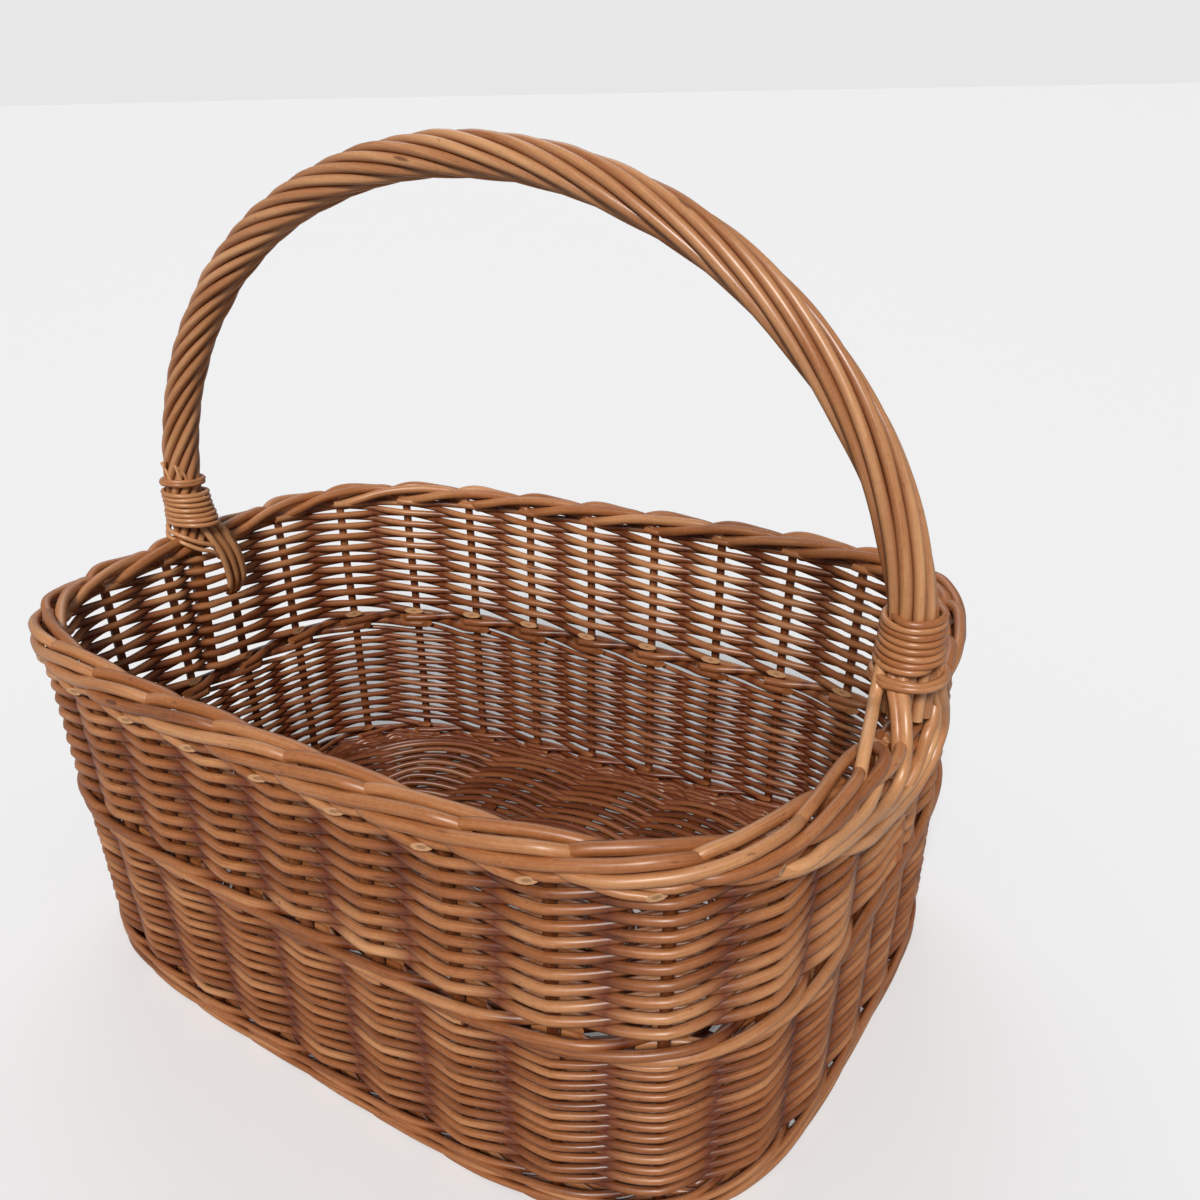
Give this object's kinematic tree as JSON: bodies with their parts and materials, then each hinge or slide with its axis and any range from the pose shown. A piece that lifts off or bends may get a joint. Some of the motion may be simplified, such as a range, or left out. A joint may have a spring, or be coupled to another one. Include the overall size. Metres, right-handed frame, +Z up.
{
  "type": "handled willow basket",
  "caption": "Oblong willow basket with rounded ends, tapering randed walls, a plaited border and a fixed roped handle arching over its long direction.",
  "frame": {"origin": "on the ground under the middle of the basket's box", "axes": "+X along the basket towards its fuller end, +Y across it, +Z up"},
  "size_m": [0.4928, 0.3654, 0.4329],
  "materials": {
    "base_stick": "matte peeled willow, slightly darker where it is shaded",
    "base_weave": "satin boiled willow, finely woven",
    "wale": "satin boiled willow, thick waled rods",
    "fine_weave": "satin boiled willow, fine woven rods",
    "coarse_weave": "satin boiled willow, medium woven rods",
    "stake": "satin boiled willow stakes",
    "border": "semi-gloss boiled willow, thick plaited rods",
    "handle_core": "matte willow bow inside the roped handle",
    "handle_rod": "semi-gloss boiled willow, long twisted rods",
    "binding": "satin boiled willow, thin bound rods"
  },
  "bodies": {
    "root": {"base_cross_stick_1": "base_stick", "base_cross_stick_2": "base_stick", "base_cross_stick_3": "base_stick", "base_cross_stick_4": "base_stick", "base_cross_stick_5": "base_stick", "base_long_stick_1": "base_stick", "base_long_stick_2": "base_stick", "base_long_stick_3": "base_stick", "base_weave": "base_weave", "foot_wale": "wale", "lower_weave": "fine_weave", "middle_wale": "wale", "upper_weave": "coarse_weave", "stake_01": "stake", "stake_02": "stake", "stake_03": "stake", "stake_04": "stake", "stake_05": "stake", "stake_06": "stake", "stake_07": "stake", "stake_08": "stake", "stake_09": "stake", "stake_10": "stake", "stake_11": "stake", "stake_12": "stake", "stake_13": "stake", "stake_14": "stake", "stake_15": "stake", "stake_16": "stake", "stake_17": "stake", "stake_18": "stake", "stake_19": "stake", "stake_20": "stake", "stake_21": "stake", "stake_22": "stake", "stake_23": "stake", "stake_24": "stake", "stake_25": "stake", "stake_26": "stake", "stake_27": "stake", "stake_28": "stake", "stake_29": "stake", "stake_30": "stake", "border": "border", "handle_bow": "handle_core", "handle_strand_01": "handle_rod", "handle_strand_02": "handle_rod", "handle_strand_03": "handle_rod", "handle_strand_04": "handle_rod", "handle_strand_05": "handle_rod", "handle_strand_06": "handle_rod", "handle_strand_07": "handle_rod", "handle_strand_08": "handle_rod", "handle_strand_09": "handle_rod", "right_handle_binding": "binding", "right_handle_lashing": "handle_rod", "left_handle_binding": "binding", "left_handle_lashing": "handle_rod"}
  },
  "joints": []
}
